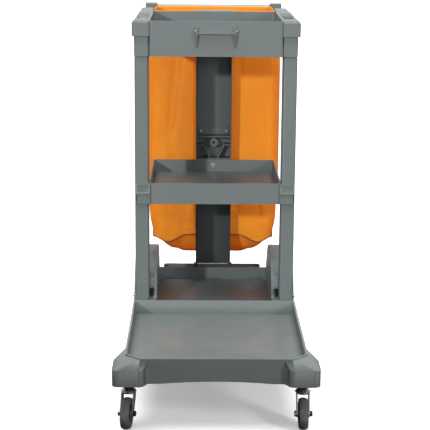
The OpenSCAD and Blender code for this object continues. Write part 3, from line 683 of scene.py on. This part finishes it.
def tube(name, path, radius, material, sides=8):
    """A round cord along a closed path."""
    count = len(path)
    verts, faces = [], []
    for i, p in enumerate(path):
        ahead, behind = path[(i + 1) % count], path[i - 1]
        t = (ahead - behind).normalized()
        side = t.cross(Vector((0, 0, 1)))
        side = side.normalized() if side.length > 1e-6 else Vector((1, 0, 0))
        up = side.cross(t).normalized()
        for k in range(sides):
            a = 2 * math.pi * k / sides
            verts.append(tuple(p + (side * math.cos(a) + up * math.sin(a)) * radius))
    for i in range(count):
        j = (i + 1) % count
        for k in range(sides):
            m = (k + 1) % sides
            faces.append((i * sides + k, j * sides + k, j * sides + m, i * sides + m))
    return mesh_object(name, verts, faces, material, "frame")


def outwards(row, gap):
    """A row of the cloth moved outwards by gap, level with itself."""
    loop = loop_of(row)
    out = []
    for i, p in enumerate(loop):
        t = loop[(i + 1) % n] - loop[i - 1]
        normal = Vector((t.y, -t.x, 0)).normalized()
        out.append(p + normal * gap)
    return out


def hem():
    """The hem: the cloth's top edge folded outwards and down, as one closed band."""
    low = -HEM_DROP
    outside = [(0.0009, low), (0.0022, low - 0.0004), (0.0030, low + 0.001)]
    outside += [(0.0027, -0.018), (0.0031, -0.008)]
    fold = [(0.0029, -0.001), (0.0016, 0.0012), (0.0, 0.0018), (-0.0013, 0.0008), (-0.0016, -0.004)]
    inside = [(-0.0014, -0.014), (-0.0017, low), (-0.0006, low - 0.0002)]
    profile = outside + fold + inside
    verts, faces = [], []
    rows = {}
    for i in range(n):
        for out, up in profile:
            row = min(4, max(0, int(round(-up / ROW_DROP))))
            if row not in rows:
                rows[row] = [outwards(row, 0.0), outwards(row, 1.0)]
            p, q = rows[row][0][i], rows[row][1][i]
            normal = (q - p).normalized()
            place = p + normal * out
            place.z = BAG_TOP + up
            verts.append(tuple(place))
    m = len(profile)
    for i in range(n):
        j = (i + 1) % n
        for k in range(m):
            h = (k + 1) % m
            faces.append((i * m + k, j * m + k, j * m + h, i * m + h))
    return mesh_object("bag_hem", verts, faces, materials["bag_fabric"], "frame")


def resample(loop, step):
    """Points at even distances round a closed loop."""
    total = sum((loop[(i + 1) % len(loop)] - loop[i]).length for i in range(len(loop)))
    count = int(total / step)
    step = total / count
    out, i, left = [], 0, 0.0
    a, b = loop[0], loop[1]
    for _ in range(count):
        while left > (b - a).length:
            left -= (b - a).length
            i += 1
            a, b = loop[i % len(loop)], loop[(i + 1) % len(loop)]
        out.append(a + (b - a).normalized() * left)
        left += step
    return out


def stitches(name, loop, radius=0.00042, pitch=0.0036, share=0.62):
    """A row of thread stitches lying along a closed loop, each rounded down into the cloth at its ends."""
    pts = resample(loop, pitch)
    verts, faces = [], []
    for i, p in enumerate(pts):
        q = pts[(i + 1) % len(pts)]
        along = (q - p).normalized()
        side = along.cross(Vector((0, 0, 1))).normalized()
        up = side.cross(along)
        first = len(verts)
        for t, r in ((0.0, 0.25), (0.14, 0.85), (0.31, 1.0), (0.48, 0.85), (share, 0.25)):
            c = p + (q - p) * t
            for k in range(6):
                a = math.pi * k / 3
                verts.append(tuple(c + (side * math.cos(a) + up * math.sin(a)) * radius * r))
        for s in range(4):
            for k in range(6):
                m = (k + 1) % 6
                faces.append(
                    (first + s * 6 + k, first + (s + 1) * 6 + k, first + (s + 1) * 6 + m, first + s * 6 + m)
                )
        faces.append(tuple(first + k for k in range(6))[::-1])
        faces.append(tuple(first + 24 + k for k in range(6)))
    return mesh_object(name, verts, faces, materials["seam_thread"], "frame")


def at_height(z, gap):
    """The cloth's outline at one height, moved outwards by gap."""
    v = (BAG_TOP - z) / (BAG_TOP - 0.28) * ROWS
    row = int(v)
    a, b = outwards(row, gap), outwards(row + 1, gap)
    return [
        Vector((p.x + (q.x - p.x) * (v - row), p.y + (q.y - p.y) * (v - row), z)) for p, q in zip(a, b)
    ]


extras = [hem()]
seam = outwards(ROWS, 0.0012)
extras.append(tube("bag_seam_piping", seam, 0.0019, materials["seam_thread"]))
extras.append(stitches("bag_hem_stitches", at_height(BAG_TOP - 0.0225, 0.0031)))
above = [p + Vector((0, 0, 0.007)) for p in outwards(ROWS - 1, 0.0006)]
extras.append(stitches("bag_seam_stitches", above))


EYELET_SIDES = 40
EYELET_X = 0.1822


def eyelet(name, side, y, z):
    """A pressed metal eyelet in the hem, round its peg."""
    verts, faces = [], []
    face = [(0.0046, 0.0009), (0.0062, 0.0014), (0.0080, 0.0008)]
    profile = [(0.0042, 0.0), *face, (0.0084, 0.0), *((r, -out) for r, out in reversed(face))]
    for i in range(EYELET_SIDES):
        a = 2 * math.pi * i / EYELET_SIDES
        for r, out in profile:
            verts.append((side * (EYELET_X + out), y + r * math.cos(a), z + r * math.sin(a)))
    m = len(profile)
    for i in range(EYELET_SIDES):
        j = (i + 1) % EYELET_SIDES
        for k in range(m):
            h = (k + 1) % m
            faces.append((i * m + k, j * m + k, j * m + h, i * m + h))
    return mesh_object(name, verts, faces, materials["zinc_steel"], "frame")


for side, word in ((-1, "left"), (1, "right")):
    for end, y in PEG_YS.items():
        extras.append(eyelet(f"{word}_{end}_eyelet", side, y, PEG_Z))

# --------------------------------------------------------------------------------------------
# Room, light and camera
# --------------------------------------------------------------------------------------------

scene = bpy.context.scene
scene.view_settings.view_transform = "Standard"
scene.view_settings.look = "None"

world = bpy.data.worlds.new("studio")
world.use_nodes = True
scene.world = world
tree = world.node_tree
sky = tree.nodes["Background"]
look = tree.nodes.new("ShaderNodeTexCoord")
split = tree.nodes.new("ShaderNodeSeparateXYZ")
dome = tree.nodes.new("ShaderNodeMapRange")
tree.links.new(look.outputs["Generated"], split.inputs[0])
tree.links.new(split.outputs["Z"], dome.inputs[0])
for i, v in enumerate((-0.15, 0.45, 0.05, 0.30)):
    dome.inputs[1 + i].default_value = v
sky.inputs["Color"].default_value = (1.0, 1.0, 1.0, 1.0)
tree.links.new(dome.outputs[0], sky.inputs["Strength"])

# Floor that carries the cart's soft shadow.
s = Shader("pale_floor")
s.set(Base_Color=s.mix(s.range(s.noise(3, 3), 0.3, 0.7), (0.9, 0.9, 0.9), (0.94, 0.94, 0.94)), Roughness=0.8)
s.set(Specular_IOR_Level=0.1, Emission_Color=(1.0, 1.0, 1.0, 1.0), Emission_Strength=0.35)
floor = mesh_object(
    "floor",
    [(-70, -70, 0), (70, -70, 0), (70, 70, 0), (-70, 70, 0)],
    [(0, 1, 2, 3)],
    s.material,
    None,
)
floor.visible_diffuse = False
floor.visible_glossy = False


def lamp(kind, name, place, target, power, **settings):
    """A light at a place, turned to its target."""
    data = bpy.data.lights.new(name, kind)
    data.energy = power
    for key, value in settings.items():
        setattr(data, key, value)
    made = bpy.data.objects.new(name, data)
    made.location = place
    made.rotation_euler = (Vector(target) - Vector(place)).to_track_quat("-Z", "Y").to_euler()
    scene.collection.objects.link(made)
    return made


lamp("SUN", "overhead", (-0.25, -0.5, 4), (0, 0, 0), 3.9, angle=math.radians(55))
lamp("AREA", "key", (-2.96, -6.06, 2.32), (0, 0.3, 0.7), 260, shape="DISK", size=0.26)
lamp(
    "AREA",
    "front",
    (0.4, -4.0, 1.1),
    (0, 0, 0.75),
    1.3,
    shape="RECTANGLE",
    size=1.8,
    size_y=1.4,
    spread=math.radians(42),
)
lamp("AREA", "side", (2.4, -2.7, 1.6), (0, 0.3, 0.75), 45, shape="DISK", size=0.7)

# Flag that keeps the key light off the lower part of the cart.
s = Shader("black_cloth")
s.set(Base_Color=(0.01, 0.01, 0.01, 1.0))
flag = mesh_object(
    "flag",
    [(-2.2, -3.28, -0.2), (-0.9, -3.28, -0.2), (-0.9, -3.28, 1.30), (-2.2, -3.28, 1.30)],
    [(0, 1, 2, 3)],
    s.material,
    None,
)
flag.visible_camera = flag.visible_diffuse = flag.visible_glossy = flag.visible_transmission = False

# Wall behind the cart that the level surfaces mirror.
s = Shader("white_wall")
s.set(Base_Color=(0.0, 0.0, 0.0, 1.0), Emission_Color=(1.0, 1.0, 1.0, 1.0), Emission_Strength=0.9)
wall = mesh_object(
    "wall",
    [(-6, 3, -0.5), (6, 3, -0.5), (6, 3, 4.5), (-6, 3, 4.5)],
    [(0, 1, 2, 3)],
    s.material,
    None,
)
wall.visible_camera = wall.visible_diffuse = wall.visible_shadow = wall.visible_transmission = False

data = bpy.data.cameras.new("camera")
data.sensor_width = 36
data.lens = 109.6
camera = bpy.data.objects.new("camera", data)
camera.location = (-0.048, -3.595, 1.250)
aim = Euler((math.radians(90 - 12.90), 0.0, math.radians(-0.79))).to_matrix()
camera.rotation_euler = (aim @ Matrix.Rotation(math.radians(0.44), 3, "Z")).to_euler()
scene.collection.objects.link(camera)
scene.camera = camera
